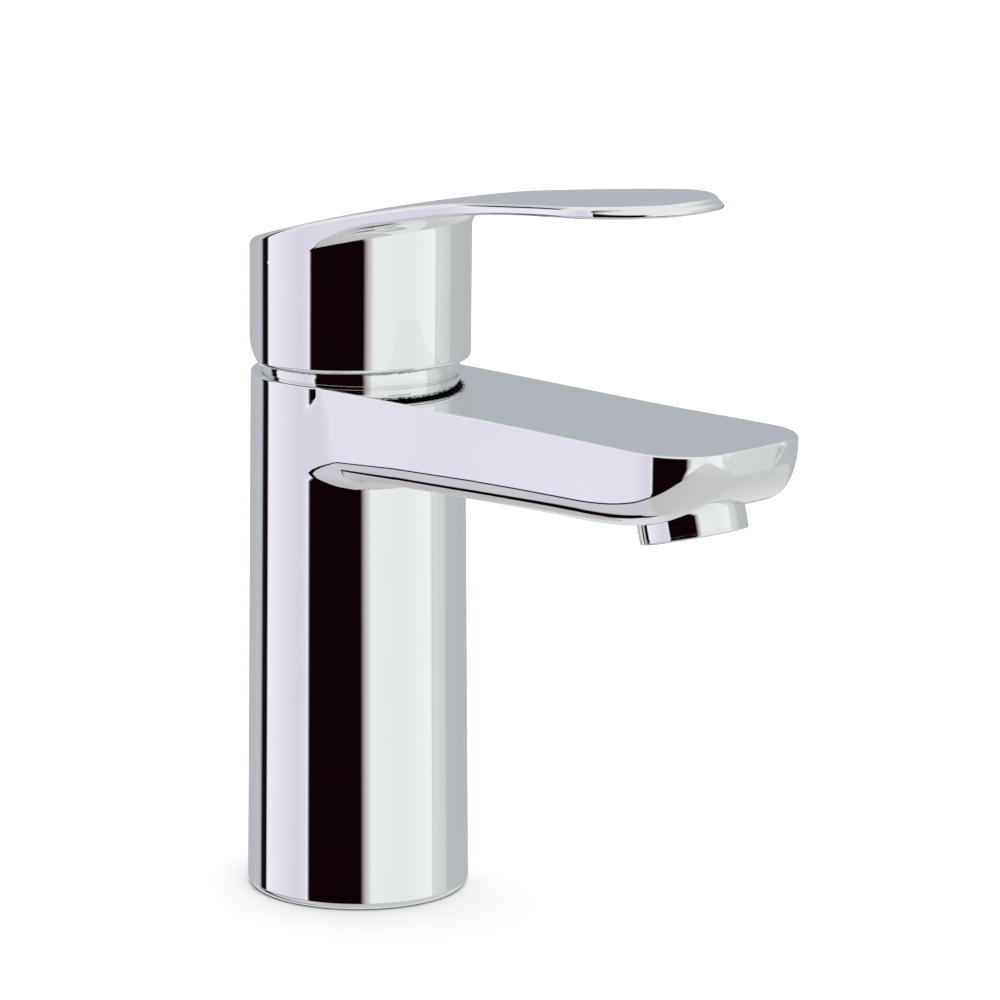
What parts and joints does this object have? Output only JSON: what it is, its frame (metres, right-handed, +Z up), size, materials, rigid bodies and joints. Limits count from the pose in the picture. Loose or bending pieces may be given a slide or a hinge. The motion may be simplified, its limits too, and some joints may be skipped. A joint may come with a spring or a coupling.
{
  "type": "bathroom mixer faucet",
  "caption": "Single-lever basin mixer with a round column, flat spout with a tilted aerator, domed ring and a long paddle lever that lifts and turns.",
  "frame": {"origin": "on the column's vertical axis, in the plane of the deck that the foot stands on", "axes": "+Z up along the column, -Y towards the spout's outlet and the lever's tip, +X to the right seen from behind the faucet"},
  "size_m": [0.048, 0.1353, 0.1594],
  "materials": {
    "polished_chrome": "mirror-polished chrome plating",
    "handle_chrome": "mirror-polished chrome plating",
    "ring_chrome": "mirror-polished chrome plating",
    "aerator_chrome": "mirror-polished chrome plating",
    "black_rubber": "matte black rubber",
    "grey_plastic": "moulded acetal, grey",
    "white_plastic": "moulded acetal, white",
    "blue_plastic": "moulded acetal, blue",
    "ceramic": "lapped alumina ceramic",
    "brass": "machined brass",
    "stainless_steel": "ground stainless steel",
    "red_plastic": "moulded acetal, red",
    "plug_plastic": "chrome-coloured gloss plastic",
    "hot_red": "red enamel",
    "cold_blue": "blue enamel",
    "green_plastic": "moulded plastic, green",
    "insert_plastic": "moulded acetal, off-white"
  },
  "bodies": {
    "base": {"body": "polished_chrome", "base_gasket": "black_rubber", "cartridge_base": "grey_plastic", "port_seals": "black_rubber", "fixed_disc": "ceramic", "cartridge_housing": "white_plastic", "temperature_limiter": "red_plastic", "retaining_nut": "brass", "dome_ring": "ring_chrome", "dome_ring_o_ring": "black_rubber", "aerator_housing": "aerator_chrome", "aerator_washer": "black_rubber", "flow_regulator": "green_plastic", "aerator_insert": "insert_plastic", "aerator_screen": "stainless_steel"},
    "swivel": {"swivel_guide": "grey_plastic", "guide_o_ring": "black_rubber", "stem_pin": "stainless_steel"},
    "discs": {"moving_disc": "ceramic", "disc_carrier": "blue_plastic"},
    "lever": {"handle": "handle_chrome", "stem": "brass", "grub_screw": "stainless_steel", "index_plug": "plug_plastic", "hot_mark": "hot_red", "cold_mark": "cold_blue"}
  },
  "joints": [
    {"name": "handle_swivel", "type": "hinge", "parent": "base", "child": "swivel", "pos_m": [0, 0, 0.1], "axis": [0, 0, 1], "range_deg": [-45, 45]},
    {"name": "handle_lift", "type": "hinge", "parent": "swivel", "child": "lever", "pos_m": [0, 0, 0.1], "axis": [-1, 0, 0], "range_deg": [0, 22]},
    {"name": "disc_slide", "type": "slide", "parent": "swivel", "child": "discs", "axis": [0, -1, 0], "range_m": [0, 0.0037]}
  ],
  "couplings": [
    {"joint": "disc_slide", "follows": "handle_lift", "m_per_rad": 0.0094}
  ]
}
